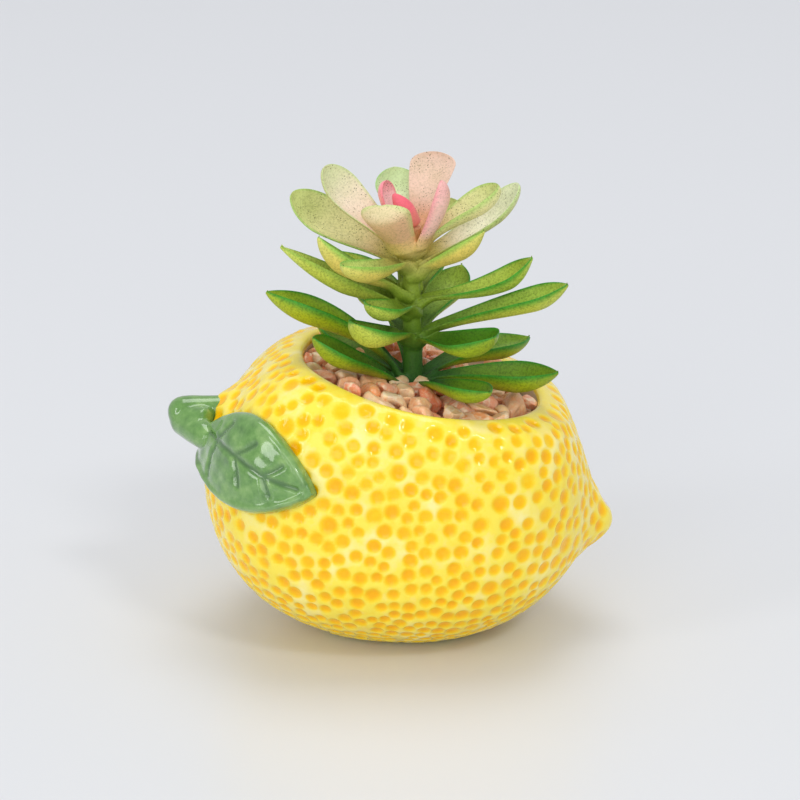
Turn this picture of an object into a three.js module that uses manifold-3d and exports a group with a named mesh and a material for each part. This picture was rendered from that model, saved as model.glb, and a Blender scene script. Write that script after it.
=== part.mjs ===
// A potted artificial succulent: a hollow glazed ceramic lemon with a green stalk and leaf stuck on its
// left end, gravel laid on a foam block under its round mouth, and a moulded plant whose cupped leaves
// stand in six tiers up one stem. Millimetres, +Z up, +X towards the lemon's nose. The origin is the
// middle of the flat foot, on the surface that the pot stands on.
import * as THREE from 'three';
import * as BufferGeometryUtils from 'three/addons/utils/BufferGeometryUtils.js';
import Module from 'manifold-3d';

const wasm = await Module();
wasm.setup();

const { degToRad, smoothstep, lerp } = THREE.MathUtils;
const UP = new THREE.Vector3(0, 0, 1);
const ACROSS = new THREE.Vector3(0, 1, 0);

// ---- driving dimensions ----------------------------------------------------------------------------

const FIT_GAP = 0.3; // left between two pieces that touch

// how finely the curved surfaces are divided
const facets = {
  outside: [48, 32],
  inside: [32, 20],
  clayLeaf: [14, 8],
  blade: [8, 4],
  mouthSides: 48,
  smallSides: 20,
  stemSides: 16,
  ballRows: 12,
  budSides: 12,
};

const pot = {
  centre: new THREE.Vector3(0, 0, 36.1),
  halfLength: 49.2,
  heightAbove: 44.8,
  heightBelow: 39.1,
  halfDepth: 42.2,
  slopeToNose: degToRad(3.7),
  wall: 4.5,
  floor: 5,
};

// how square the lemon is, as the power of its rounding: 2 is an ellipse, and more is boxier
const squareness = { sideAbove: 2.6, sideBelow: 2.2, depthAbove: 3.3, depthBelow: 2.05 };

// bumps on the skin: the nub of the nose and the broad swelling behind it, and the same for the stalk
const nose = { rise: degToRad(-7.9), height: 6, spread: degToRad(8), taper: 2 };
const noseSwell = { rise: degToRad(-4), height: 3.9, spread: degToRad(18.4), taper: 2 };
const stalkEnd = { rise: degToRad(170), height: 3.2, spread: degToRad(18), taper: 2 };
const neck = { rise: degToRad(153), height: 4.2, spread: degToRad(8), taper: 2 };

const mouth = {
  centre: new THREE.Vector3(6.3, 0, 71.5),
  radius: 32.5,
  slope: degToRad(12.2),
  shoulderRound: 5,
};
const foot = { above: -0.8, round: 4 };

const stalk = {
  joint: new THREE.Vector3(-48, 0, 60.5),
  neckRadius: 3.5,
  knobRadius: 4.4,
  length: 13.4,
  droop: degToRad(5.5),
  // each ring as a share of the radius and a share of the length
  neckShape: [[1, 0], [1.08, 0.25]],
  knobShape: [[0.98, 0.48], [1, 0.66], [0.87, 0.85], [0.52, 0.97]],
};

// the side limb of the stalk, from inside the knob down to the foot of the clay leaf
const limb = {
  start: new THREE.Vector3(-56.6, -1, 57.6),
  end: new THREE.Vector3(-50.5, -10.5, 56),
  startRadius: 4.2,
  endRadius: 3.2,
};

// the clay leaf runs over the skin from its base, under the limb, down to its tip
const clayLeaf = {
  base: { along: degToRad(163), round: degToRad(-1.9) },
  tip: { along: degToRad(143.2), round: degToRad(-57.8) },
  width: degToRad(27.4),
  thickness: 4.2,
  edge: 1.6,
  reach: [0.04, 0.985], // where it starts and ends, as shares of the way from base to tip
  outline: { lean: 1.19, fullness: 0.73 }, // how far past its middle it is widest, and how round it is
  sway: { middle: 0.12, tip: 0.03, base: -0.1 }, // its swing towards the mouth, as shares of its half width
};

const gravel = {
  below: 2.0,
  thickness: 7,
  radius: 32.1,
  stones: 72,
  stoneSize: 2.8,
  sizeSpread: [0.85, 1.15],
  sinkSpread: [-0.4, 0.6],
};

const stem = {
  foot: new THREE.Vector3(4.3, -3.1, 68.7),
  buried: 26,
  top: 43.5,
  radiusLow: 2.75,
  radiusTop: 2.0,
  flare: 0.9,
  flareFrom: 36.5,
  lean: degToRad(-1),
  holeGap: 0.35,
};

const blade = {
  thickness: 1.2,
  edge: 0.6,
  footWidth: 3.2,
  footCup: degToRad(62),
  opening: [0.12, 1.08], // a leaf opens between these shares of the way to its widest
  cupFull: 0.45, // the share of its length where its cup is full
  crowding: 1.35, // how much its rows crowd towards the tip
  end: 0.995, // the share of its length where the last row stands
};

// The tiers from the gravel up. Each leaf has the rise of its foot on the stem, its compass angle (0 is
// towards the nose, 90 is away from the viewer), the pitch of its chord and its roll about that chord.
// Its width is measured round its cup, cup is half the angle it curls through, and bow is how far its
// rim rises above the chord at the middle. Widest is how far along a leaf is widest, as a share, and a
// tier's tipPower is how pointed its leaves are: 1 is a point, and 0.5 is round.
const tiers = [
  {
    finish: 'leafGreen',
    widest: 0.68,
    tipPower: 0.9,
    leaves: {
      front_left: { rise: 1.2, turn: -145, pitch: 33, roll: -14, length: 33, width: 17, cup: 76, bow: 1.2 },
      front_right: { rise: 1.4, turn: -57, pitch: 11, roll: -5, length: 33, width: 15.5, cup: 76, bow: 1.5 },
      right: { rise: 2.2, turn: -12, pitch: 5, roll: 0, length: 36, width: 19.5, cup: 84, bow: 1.6 },
      back_right: { rise: 2.8, turn: 33, pitch: 5, roll: 0, length: 35, width: 17, cup: 76, bow: 2.5 },
      back: { rise: 3.2, turn: 92, pitch: 24, roll: 0, length: 30, width: 16, cup: 76, bow: 1 },
      back_left: { rise: 3.2, turn: 143, pitch: 20, roll: 0, length: 31, width: 15, cup: 74, bow: 0 },
      left: { rise: 4.2, turn: -176, pitch: 33.5, roll: 2, length: 41.5, width: 19, cup: 86, bow: 4.8 },
    },
  },
  {
    finish: 'leafGreen',
    widest: 0.68,
    tipPower: 0.95,
    leaves: {
      front_left: { rise: 15.8, turn: -120, pitch: 19.5, roll: -8, length: 27, width: 17.5, cup: 80, bow: 0 },
      front_right: { rise: 14.4, turn: -50, pitch: 12, roll: 4.5, length: 30, width: 20, cup: 62, bow: 0 },
      right: {
        rise: 15.6, turn: -13, pitch: 20.2, roll: 4, length: 41, width: 16, cup: 74, bow: 0.8, widest: 0.76,
      },
      back_right: { rise: 15.4, turn: 62, pitch: 20, roll: 0, length: 28, width: 16, cup: 74, bow: 0.5 },
      back: { rise: 14.8, turn: 118, pitch: 18, roll: 0, length: 26, width: 16, cup: 74, bow: 0.5 },
    },
  },
  {
    finish: 'leafGreen',
    widest: 0.62,
    tipPower: 1,
    leaves: {
      front: { rise: 23.6, turn: -114, pitch: 14, roll: -10, length: 24, width: 13.5, cup: 78, bow: 0 },
      left: {
        rise: 22.8, turn: -176, pitch: 28, roll: 5, length: 35, width: 16, cup: 74, bow: 0.5, widest: 0.45,
      },
      back_left: { rise: 24.4, turn: 132, pitch: 12, roll: 0, length: 29, width: 15, cup: 72, bow: 0.5 },
      back: { rise: 24.4, turn: 78, pitch: 14, roll: 0, length: 25, width: 15, cup: 74, bow: 0.5 },
      right: {
        rise: 24.6, turn: -8, pitch: 21, roll: 6, length: 31, width: 15, cup: 72, bow: -2, widest: 0.74,
      },
    },
  },
  {
    finish: 'leafLime',
    widest: 0.62,
    tipPower: 0.8,
    leaves: {
      left: { rise: 27.4, turn: -162, pitch: 35.5, roll: 0, length: 27, width: 16, cup: 78, bow: -0.5 },
      front_left: { rise: 35, turn: -126, pitch: 10.5, roll: 0, length: 27, width: 15.5, cup: 78, bow: 0 },
      right: {
        rise: 32.8, turn: -26, pitch: 32.5, roll: -4, length: 21.5, width: 13, cup: 72, bow: 0,
        widest: 0.6, tipPower: 1.1,
      },
      back: { rise: 30, turn: 96, pitch: 14, roll: 0, length: 22, width: 14, cup: 74, bow: 0 },
    },
  },
  {
    finish: 'leafLime',
    widest: 0.7,
    tipPower: 0.6,
    leaves: {
      left: { rise: 34.8, turn: 172, pitch: 30.5, roll: -36, length: 33, width: 15, cup: 62, bow: -1 },
      back_left: { rise: 36.4, turn: 124, pitch: 18, roll: 0, length: 24, width: 14.5, cup: 70, bow: 0 },
      back_right: { rise: 37, turn: 64, pitch: 18, roll: 0, length: 24, width: 14.5, cup: 70, bow: 0 },
      right: { rise: 35.4, turn: 2, pitch: 36, roll: 18, length: 31.5, width: 13.5, cup: 64, bow: -1.5 },
      right_inner: { rise: 39, turn: -13, pitch: 38.5, roll: 15, length: 26, width: 15.5, cup: 76, bow: 1.8 },
    },
  },
  {
    finish: 'leafBlush',
    widest: 0.7,
    tipPower: 0.55,
    leaves: {
      left: { rise: 39, turn: 178, pitch: 47, roll: -38, length: 28, width: 13.5, cup: 58, bow: -0.5 },
      front_left: {
        rise: 39.8, turn: -128, pitch: 54, roll: 14, length: 14.8, width: 17, cup: 60, bow: 0,
        widest: 0.8, tipPower: 0.42,
      },
      back_left: { rise: 41.2, turn: 102, pitch: 40, roll: 0, length: 20.5, width: 14.5, cup: 56, bow: 0 },
      back: {
        rise: 42.2, turn: 67, pitch: 49, roll: 0, length: 22.4, width: 14.2, cup: 42, bow: 0,
        widest: 0.84, tipPower: 0.5,
      },
      right: { rise: 40.6, turn: -52, pitch: 62, roll: 36, length: 19.5, width: 10.5, cup: 84, bow: -0.5 },
      small_left: { rise: 43, turn: 150, pitch: 74, roll: 0, length: 12.2, width: 8.5, cup: 70, bow: 0 },
    },
  },
];

const bud = {
  length: 9,
  radius: 2.2,
  footRadius: 1.54,
  lean: degToRad(-28),
  tierGap: 0.5,
  // each ring above the foot as a share of the radius and a share of the length
  shape: [[1, 0.4], [0.75, 0.75], [0.3, 0.95]],
};

const material = {
  yellowGlaze: { color: 0xf7d935, roughness: 0.15 },
  greenGlaze: { color: 0x5b8a50, roughness: 0.15 },
  stone: { color: 0xd99a78, roughness: 0.5 },
  foam: { color: 0x3f5a3a, roughness: 0.9 },
  stemGreen: { color: 0x5c7a24, roughness: 0.5 },
  leafGreen: { color: 0x3c7a22, roughness: 0.45 },
  leafLime: { color: 0x93a84a, roughness: 0.45 },
  leafBlush: { color: 0xd9b89a, roughness: 0.45 },
  budPink: { color: 0xf07085, roughness: 0.4 },
};

// ---- helpers ---------------------------------------------------------------------------------------

/** A repeatable stream of numbers from 0 to 1. */
function seeded(seed) {
  let state = seed;
  return () => {
    state = (state * 16807) % 2147483647;
    return state / 2147483647;
  };
}

/** Turns a closed three.js geometry into a solid that can be cut and joined. */
function toSolid(geometry) {
  const bare = geometry.clone();
  bare.deleteAttribute('normal');
  bare.deleteAttribute('uv');
  const merged = BufferGeometryUtils.mergeVertices(bare, 1e-4);
  return new wasm.Manifold(
    new wasm.Mesh({
      numProp: 3,
      vertProperties: new Float32Array(merged.attributes.position.array),
      triVerts: new Uint32Array(merged.index.array),
    }),
  );
}

/** Turns a solid back into a three.js geometry. */
function toGeometry(solid) {
  const cut = solid.getMesh();
  const geometry = new THREE.BufferGeometry();
  geometry.setAttribute('position', new THREE.BufferAttribute(new Float32Array(cut.vertProperties), 3));
  geometry.setIndex(Array.from(cut.triVerts));
  return geometry;
}

/** Moves every vertex of a geometry to where place() puts it. */
function reshape(geometry, place) {
  const position = geometry.attributes.position;
  const point = new THREE.Vector3();
  for (let i = 0; i < position.count; i += 1) {
    point.fromBufferAttribute(position, i);
    place(point);
    position.setXYZ(i, point.x, point.y, point.z);
  }
  return geometry;
}

function makeMesh(name, geometry, finish) {
  const coat = new THREE.MeshStandardMaterial({ ...material[finish], metalness: 0 });
  const mesh = new THREE.Mesh(geometry, coat);
  mesh.name = name;
  return mesh;
}

// ---- the lemon's surface ---------------------------------------------------------------------------

const mouthNormal = new THREE.Vector3(Math.sin(mouth.slope), 0, Math.cos(mouth.slope));
const stalkHeading = new THREE.Vector3(-Math.cos(stalk.droop), 0, -Math.sin(stalk.droop));

/** The smaller of two distances, with the corner between them rounded over a width. */
function roundedMin(a, b, width) {
  const near = Math.max(width - Math.abs(a - b), 0) / width;
  return Math.min(a, b) - (near * near * width) / 4;
}

/** How far a bump lifts the surface in a direction, by its angle from the bump's middle. */
function bumpHeight(direction, bump) {
  const middle = new THREE.Vector3(Math.cos(bump.rise), 0, Math.sin(bump.rise));
  return bump.height * Math.exp(-((direction.angleTo(middle) / bump.spread) ** bump.taper));
}

/** Distance from the lemon's centre to its skin, without its ends, the mouth and the foot. */
function bodyRadius(direction) {
  const along = direction.x * Math.cos(pot.slopeToNose) - direction.z * Math.sin(pot.slopeToNose);
  const high = direction.x * Math.sin(pot.slopeToNose) + direction.z * Math.cos(pot.slopeToNose);
  const halfHeight = high > 0 ? pot.heightAbove : pot.heightBelow;
  const side = high > 0 ? squareness.sideAbove : squareness.sideBelow;
  const depth = lerp(squareness.depthBelow, squareness.depthAbove, smoothstep(high, -1, 1));
  const sideView = Math.abs(along / pot.halfLength) ** side + Math.abs(high / halfHeight) ** side;
  const depthView = Math.abs(direction.y / pot.halfDepth) ** depth;
  return (sideView ** (depth / side) + depthView) ** (-1 / depth);
}

/** Distance from the lemon's centre to a plane, along a direction that points at it. */
function planeDistance(direction, height, normal) {
  const towards = direction.dot(normal);
  return towards > 0.05 ? height / towards : Infinity;
}

/** Distance from the lemon's centre to its glazed outside, closed over the mouth. */
function outerRadius(direction) {
  let skin = bodyRadius(direction);
  for (const bump of [nose, noseSwell, stalkEnd, neck]) {
    skin += bumpHeight(direction, bump);
  }
  const mouthHeight = mouth.centre.clone().sub(pot.centre).dot(mouthNormal);
  const footHeight = pot.centre.z - foot.above;
  const topped = roundedMin(skin, planeDistance(direction, mouthHeight, mouthNormal), mouth.shoulderRound);
  return roundedMin(topped, planeDistance(direction, footHeight, UP.clone().negate()), foot.round);
}

/** A closed skin round the lemon's centre, at the distance that radius() gives each way. */
function skinGeometry(radius, [columns, rows]) {
  const ball = new THREE.SphereGeometry(1, columns, rows);
  ball.rotateZ(nose.rise - Math.PI / 2);
  ball.rotateX(Math.PI / 2);
  return reshape(ball, (point) => {
    point.normalize();
    point.multiplyScalar(radius(point)).add(pot.centre);
  });
}

/** A slab that is wide enough to cut the whole object, with its top on a plane. */
function slabUnder(point, normal) {
  const size = 300;
  const slab = new THREE.BoxGeometry(size, size, size);
  slab.translate(0, 0, -size / 2);
  slab.applyQuaternion(new THREE.Quaternion().setFromUnitVectors(UP, normal));
  slab.translate(point.x, point.y, point.z);
  return toSolid(slab);
}

/** The point on the mouth's axis at a depth below the mouth's plane. */
const underMouth = (depth) => mouth.centre.clone().addScaledVector(mouthNormal, -depth);

/** A round bar that starts at a point and runs along a direction. */
function barFrom(start, direction, radius, length, sides) {
  const bar = new THREE.CylinderGeometry(radius, radius, length, sides);
  bar.rotateX(Math.PI / 2);
  bar.translate(0, 0, length / 2);
  bar.applyQuaternion(new THREE.Quaternion().setFromUnitVectors(UP, direction));
  bar.translate(start.x, start.y, start.z);
  return toSolid(bar);
}

/** A round bar along the mouth's axis, from one depth below the mouth's plane up to another. */
function barUnderMouth(radius, low, high) {
  return barFrom(underMouth(low), mouthNormal, radius, low - high, facets.mouthSides);
}

// ---- pot body --------------------------------------------------------------------------------------

/** The space inside the walls, made smaller all round by a clearance. */
function innerSpace(clearance) {
  const shape = skinGeometry((direction) => bodyRadius(direction) - pot.wall - clearance, facets.inside);
  return toSolid(shape).subtract(slabUnder(new THREE.Vector3(0, 0, pot.floor + clearance), UP));
}

function makePotBody() {
  const outside = toSolid(skinGeometry(outerRadius, facets.outside));
  const ground = slabUnder(new THREE.Vector3(0, 0, 0), UP);
  const hollow = innerSpace(0).intersect(slabUnder(underMouth(pot.wall), mouthNormal));
  const opening = barUnderMouth(mouth.radius, pot.wall * 2, -pot.wall * 2);
  const stalkSeat = barFrom(stalk.joint, stalkHeading, stalk.knobRadius * 2, stalk.length, facets.smallSides);
  const body = outside.subtract(ground).subtract(hollow).subtract(opening).subtract(stalkSeat);
  return makeMesh('pot_body', toGeometry(body), 'yellowGlaze');
}

// ---- stalk and leaf of green clay ------------------------------------------------------------------

/** Where the lemon's skin is in a direction, and how far above it to stand. */
function skinPoint(direction, above) {
  return direction.clone().multiplyScalar(outerRadius(direction) + above).add(pot.centre);
}

/** The stub of the stalk: from the flat of the neck to a round knob, made larger by a clearance. */
function stalkStub(clearance) {
  const neckRadius = stalk.neckRadius + clearance;
  const knobRadius = stalk.knobRadius + clearance;
  const length = stalk.length + clearance;
  const profile = [
    new THREE.Vector2(0, 0),
    ...stalk.neckShape.map(([wide, along]) => new THREE.Vector2(neckRadius * wide, length * along)),
    ...stalk.knobShape.map(([wide, along]) => new THREE.Vector2(knobRadius * wide, length * along)),
    new THREE.Vector2(0, length),
  ];
  const stub = new THREE.LatheGeometry(profile, facets.smallSides);
  stub.rotateX(Math.PI / 2);
  stub.applyQuaternion(new THREE.Quaternion().setFromUnitVectors(UP, stalkHeading));
  const root = stalk.joint.clone().addScaledVector(stalkHeading, FIT_GAP);
  stub.translate(root.x, root.y, root.z);
  return toSolid(stub);
}

/** The side limb: a tapered rod with a ball at each end, made larger all round by a clearance. */
function stalkLimb(clearance) {
  const heading = limb.end.clone().sub(limb.start);
  const startRadius = limb.startRadius + clearance;
  const endRadius = limb.endRadius + clearance;
  const rod = new THREE.CylinderGeometry(endRadius, startRadius, heading.length(), facets.smallSides);
  rod.applyQuaternion(new THREE.Quaternion().setFromUnitVectors(ACROSS, heading.clone().normalize()));
  const middle = limb.start.clone().addScaledVector(heading, 0.5);
  rod.translate(middle.x, middle.y, middle.z);
  const startBall = new THREE.SphereGeometry(startRadius, facets.smallSides, facets.ballRows);
  startBall.translate(limb.start.x, limb.start.y, limb.start.z);
  const endBall = new THREE.SphereGeometry(endRadius, facets.smallSides, facets.ballRows);
  endBall.translate(limb.end.x, limb.end.y, limb.end.z);
  return toSolid(rod).add(toSolid(startBall)).add(toSolid(endBall));
}

/** The stub and its limb are one piece of clay, pressed against the skin. */
function makeStalk() {
  const skin = toSolid(skinGeometry((direction) => outerRadius(direction) + FIT_GAP, facets.outside));
  return makeMesh('pot_stalk', toGeometry(stalkStub(0).add(stalkLimb(0).subtract(skin))), 'greenGlaze');
}

/** A direction from the lemon's centre: along in the side view, then round towards the back. */
function skinDirection({ along, round }) {
  return new THREE.Vector3(
    Math.cos(along) * Math.cos(round),
    Math.sin(round),
    Math.sin(along) * Math.cos(round),
  );
}

/** Half width of the clay leaf, as a share, from its base (0) to its point (1). */
function clayLeafHalfWidth(share) {
  return Math.sin(Math.PI * share ** clayLeaf.outline.lean) ** clayLeaf.outline.fullness;
}

/** How far the clay leaf's middle line swings towards the mouth, as a share of its half width. */
function clayLeafMiddle(share) {
  const { middle, tip, base } = clayLeaf.sway;
  return middle * Math.sin(Math.PI * share) + tip * share ** 4 + base * (1 - share) ** 4;
}

/** A thick clay leaf laid on the skin: a slab bent over it, domed, and cut to meet the stalk's limb. */
function makeClayLeaf() {
  const base = skinDirection(clayLeaf.base);
  const tip = skinDirection(clayLeaf.tip);
  const swing = base.angleTo(tip);
  const axis = base.clone().cross(tip).normalize();
  const slab = new THREE.BoxGeometry(1, 1, 1, ...facets.clayLeaf, 1);
  reshape(slab, (point) => {
    const share = lerp(...clayLeaf.reach, point.x + 0.5);
    const across = point.y * 2;
    const direction = base.clone().applyAxisAngle(axis, swing * share);
    const sideways = direction.clone().cross(axis).normalize();
    const offMiddle = clayLeafMiddle(share) + clayLeafHalfWidth(share) * across;
    direction.applyAxisAngle(sideways, (clayLeaf.width / 2) * offMiddle);
    const dome = Math.sqrt(Math.max(1 - across * across, 0));
    const height = point.z > 0 ? lerp(clayLeaf.edge, clayLeaf.thickness, dome) : 0;
    point.copy(skinPoint(direction, FIT_GAP + height));
  });
  const clearOfStalk = toSolid(slab).subtract(stalkLimb(FIT_GAP)).subtract(stalkStub(FIT_GAP));
  return makeMesh('pot_leaf', toGeometry(clearOfStalk), 'greenGlaze');
}

// ---- foam and gravel -------------------------------------------------------------------------------

/** What the foam and the gravel leave free round the buried end of the stem. */
function stemHole() {
  const axis = new THREE.Vector3(Math.sin(stem.lean), 0, Math.cos(stem.lean));
  const bottom = stem.foot.clone().addScaledVector(axis, -stem.buried - stem.holeGap);
  return barFrom(bottom, axis, stem.radiusLow + stem.holeGap, stem.buried * 2, facets.smallSides);
}

/** The foam block fills the pot from its floor to the underside of the gravel. */
function makeFoam() {
  const top = slabUnder(underMouth(gravel.below + gravel.thickness + FIT_GAP), mouthNormal);
  const block = innerSpace(FIT_GAP).intersect(top).subtract(stemHole());
  return makeMesh('foam_block', toGeometry(block), 'foam');
}

/** One tumbled pebble: a twenty-sided ball pulled into a different oval each time. */
function pebble(random, size) {
  const stone = new THREE.IcosahedronGeometry(1, 0);
  const half = new THREE.Vector3(1, lerp(0.7, 0.95, random()), lerp(0.6, 0.8, random())).multiplyScalar(size);
  stone.scale(half.x, half.y, half.z);
  stone.rotateX(lerp(-0.5, 0.5, random()));
  stone.rotateY(lerp(-0.5, 0.5, random()));
  stone.rotateZ(Math.PI * 2 * random());
  return stone;
}

/** Pebbles set in a sunflower pattern on one bed, joined into a single layer. */
function makeGravel() {
  const random = seeded(7);
  const bedTop = gravel.below + gravel.stoneSize * 0.8;
  let layer = barUnderMouth(gravel.radius, gravel.below + gravel.thickness, bedTop);
  const goldenTurn = Math.PI * (3 - Math.sqrt(5));
  const lay = new THREE.Quaternion().setFromUnitVectors(UP, mouthNormal);
  for (let i = 0; i < gravel.stones; i += 1) {
    const size = gravel.stoneSize * lerp(...gravel.sizeSpread, random());
    const reach = (gravel.radius - size) * Math.sqrt((i + 0.5) / gravel.stones);
    const turn = goldenTurn * i;
    const stone = pebble(random, size);
    const sink = bedTop + lerp(...gravel.sinkSpread, random());
    stone.translate(Math.cos(turn) * reach, Math.sin(turn) * reach, -sink);
    stone.applyQuaternion(lay);
    stone.translate(mouth.centre.x, mouth.centre.y, mouth.centre.z);
    layer = layer.add(toSolid(stone));
  }
  return makeMesh('gravel_layer', toGeometry(layer.subtract(stemHole())), 'stone');
}

// ---- plant -----------------------------------------------------------------------------------------

/** Radius of the stem at a height above the gravel: a slow taper, then a flare into the top tier. */
function stemRadius(height) {
  const taper = lerp(stem.radiusLow, stem.radiusTop, Math.min(Math.max(height / stem.top, 0), 1));
  return taper + stem.flare * smoothstep(height, stem.flareFrom, stem.top);
}

function makeStem() {
  const profile = [new THREE.Vector2(0, -stem.buried)];
  for (const height of [-stem.buried, 0, stem.flareFrom, stem.flareFrom + 3, stem.top - 1.5, stem.top]) {
    profile.push(new THREE.Vector2(stemRadius(height), height));
  }
  profile.push(new THREE.Vector2(0, stem.top));
  const rod = new THREE.LatheGeometry(profile, facets.stemSides);
  rod.rotateX(Math.PI / 2);
  return makeMesh('plant_stem', rod, 'stemGreen');
}

/** Half width of a leaf from its foot (0) to its tip (1): a narrow channel that opens to a round blade. */
function leafHalfWidth(share, width, { widest, tipPower }) {
  const half = width / 2;
  if (share < widest) {
    return lerp(blade.footWidth / 2, half, smoothstep(share / widest, ...blade.opening));
  }
  const past = (share - widest) / (1 - widest);
  const full = lerp(blade.footWidth / 2, half, smoothstep(1, ...blade.opening));
  return full * Math.max(1 - past ** 2, 0) ** tipPower;
}

/** One cupped leaf, from its foot at the origin along +X, hollow side up. */
function leafGeometry({ length, width, cup, bow, ...outline }) {
  const slab = new THREE.BoxGeometry(1, 1, 1, ...facets.blade, 1);
  return reshape(slab, (point) => {
    const share = blade.end * (1 - (0.5 - point.x) ** blade.crowding);
    const across = point.y * 2;
    const bend = lerp(blade.footCup, degToRad(cup), smoothstep(share, 0, blade.cupFull));
    const curve = leafHalfWidth(share, width, outline) / bend;
    const rim = bow * 4 * share * (1 - share);
    const lift = point.z * lerp(blade.thickness, blade.edge, across * across);
    const angle = bend * across;
    point.set(
      share * length,
      (curve - lift) * Math.sin(angle),
      rim + curve * (Math.cos(bend) - Math.cos(angle)) + lift * Math.cos(angle),
    );
  });
}

/** A leaf set on the stem, its foot standing off by the fit gap. */
function makeLeaf(name, leaf, tier) {
  const mesh = makeMesh(name, leafGeometry({ ...tier, ...leaf }), tier.finish);
  const roll = new THREE.Quaternion().setFromAxisAngle(new THREE.Vector3(1, 0, 0), degToRad(leaf.roll));
  const pitch = new THREE.Quaternion().setFromAxisAngle(ACROSS, -degToRad(leaf.pitch));
  const turn = new THREE.Quaternion().setFromAxisAngle(UP, degToRad(leaf.turn));
  mesh.quaternion.copy(turn).multiply(pitch).multiply(roll);
  const footTilt = (blade.thickness / 2) * Math.sin(degToRad(leaf.pitch));
  const reach = stemRadius(leaf.rise) + FIT_GAP + footTilt;
  const heading = degToRad(leaf.turn);
  mesh.position.set(Math.cos(heading) * reach, Math.sin(heading) * reach, leaf.rise);
  return mesh;
}

/** The heart of the plant, standing on the top of the stem. */
function makeBud() {
  const profile = [
    new THREE.Vector2(0, 0),
    new THREE.Vector2(bud.footRadius, 0),
    ...bud.shape.map(([wide, along]) => new THREE.Vector2(bud.radius * wide, bud.length * along)),
    new THREE.Vector2(0, bud.length),
  ];
  const cone = new THREE.LatheGeometry(profile, facets.budSides);
  cone.rotateX(Math.PI / 2);
  const mesh = makeMesh('centre_bud', cone, 'budPink');
  mesh.rotation.y = bud.lean;
  const lowered = bud.footRadius * Math.abs(Math.sin(bud.lean));
  mesh.position.set(0, 0, stem.top + bud.tierGap + lowered);
  return mesh;
}

// ---- assembly --------------------------------------------------------------------------------------

const plant = new THREE.Group();
plant.position.copy(stem.foot);
plant.rotation.y = stem.lean;
plant.add(makeStem());
plant.add(makeBud());
tiers.forEach((tier, level) => {
  for (const [side, leaf] of Object.entries(tier.leaves)) {
    plant.add(makeLeaf(`leaf_tier${level + 1}_${side}`, leaf, tier));
  }
});

const pottedSucculent = new THREE.Group();
pottedSucculent.add(makePotBody());
pottedSucculent.add(makeStalk());
pottedSucculent.add(makeClayLeaf());
pottedSucculent.add(makeFoam());
pottedSucculent.add(makeGravel());
pottedSucculent.add(plant);

export default pottedSucculent;
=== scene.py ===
# A potted artificial succulent: a dimpled lemon-shaped pot with a green clay stalk and leaf, gravel over a
# foam block, and a moulded plant whose cupped leaves stand in six tiers. Every piece is built in the packed
# model's own frame, +Z up with the lemon's nose along +X, and sizes are written in millimetres.
import itertools
import math

import bmesh
import bpy
import numpy as np
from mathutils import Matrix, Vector, kdtree


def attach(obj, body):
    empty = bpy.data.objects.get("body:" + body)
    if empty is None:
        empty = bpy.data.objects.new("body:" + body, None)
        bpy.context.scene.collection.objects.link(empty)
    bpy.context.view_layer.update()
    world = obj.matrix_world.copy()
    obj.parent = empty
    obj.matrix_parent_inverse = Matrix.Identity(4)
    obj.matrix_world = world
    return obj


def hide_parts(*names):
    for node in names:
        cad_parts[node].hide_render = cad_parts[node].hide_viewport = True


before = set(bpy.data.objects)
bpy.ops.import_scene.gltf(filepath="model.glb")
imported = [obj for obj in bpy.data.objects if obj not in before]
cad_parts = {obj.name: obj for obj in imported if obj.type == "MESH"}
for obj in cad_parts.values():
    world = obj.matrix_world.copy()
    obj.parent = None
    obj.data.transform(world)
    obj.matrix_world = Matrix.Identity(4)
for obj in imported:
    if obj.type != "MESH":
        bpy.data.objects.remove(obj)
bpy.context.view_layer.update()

# ---- camera ----------------------------------------------------------------------------------------
# A long lens about 74 cm away looks down a little at the pot, from the clay leaf's side.

MM = 0.001

camera_data = bpy.data.cameras.new("camera")
camera_data.lens = 125
camera_data.sensor_width = 36
camera = bpy.data.objects.new("camera", camera_data)
camera.location = Vector((0, -698.9, 309.3)) * MM
looked_at = Vector((0.84, 0, 63.0)) * MM
camera.rotation_euler = (looked_at - camera.location).to_track_quat("-Z", "Y").to_euler()
bpy.context.scene.collection.objects.link(camera)
bpy.context.scene.camera = camera

# ---- table and light -------------------------------------------------------------------------------
# A wide satin table top in a pale blue grey runs out of the picture on every side. Light comes from a
# white tent all round and four soft panels: overhead, at the upper right, at the left and in front.


def rgb(red, green, blue):
    """A colour as a screen shows it, 0 to 255, turned into the linear one that shaders take."""
    shares = [channel / 255 for channel in (red, green, blue)]
    return tuple(s / 12.92 if s <= 0.04045 else ((s + 0.055) / 1.055) ** 2.4 for s in shares) + (1.0,)


def new_finish(name, **settings):
    """A surface finish, with plain values on its shader. Sockets are named with _ for a space."""
    finish = bpy.data.materials.new(name)
    finish.use_nodes = True
    shader = finish.node_tree.nodes["Principled BSDF"]
    for key, value in settings.items():
        shader.inputs[key.replace("_", " ")].default_value = value
    return finish


bpy.context.scene.view_settings.view_transform = "Standard"

HALF_TABLE = 4000
table_mesh = bpy.data.meshes.new("table_top")
corners = [(-1, -1), (1, -1), (1, 1), (-1, 1)]
table_mesh.from_pydata([(x * HALF_TABLE * MM, y * HALF_TABLE * MM, 0) for x, y in corners], [], [range(4)])
table = bpy.data.objects.new("table_top", table_mesh)
bpy.context.scene.collection.objects.link(table)
table_mesh.materials.append(
    new_finish("pale_table", Base_Color=rgb(221, 223, 226), Roughness=0.36, Specular_IOR_Level=0.5)
)

world = bpy.data.worlds.new("white_tent")
world.use_nodes = True
world.node_tree.nodes["Background"].inputs["Color"].default_value = rgb(250, 251, 255)
world.node_tree.nodes["Background"].inputs["Strength"].default_value = 0.6
bpy.context.scene.world = world


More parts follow.
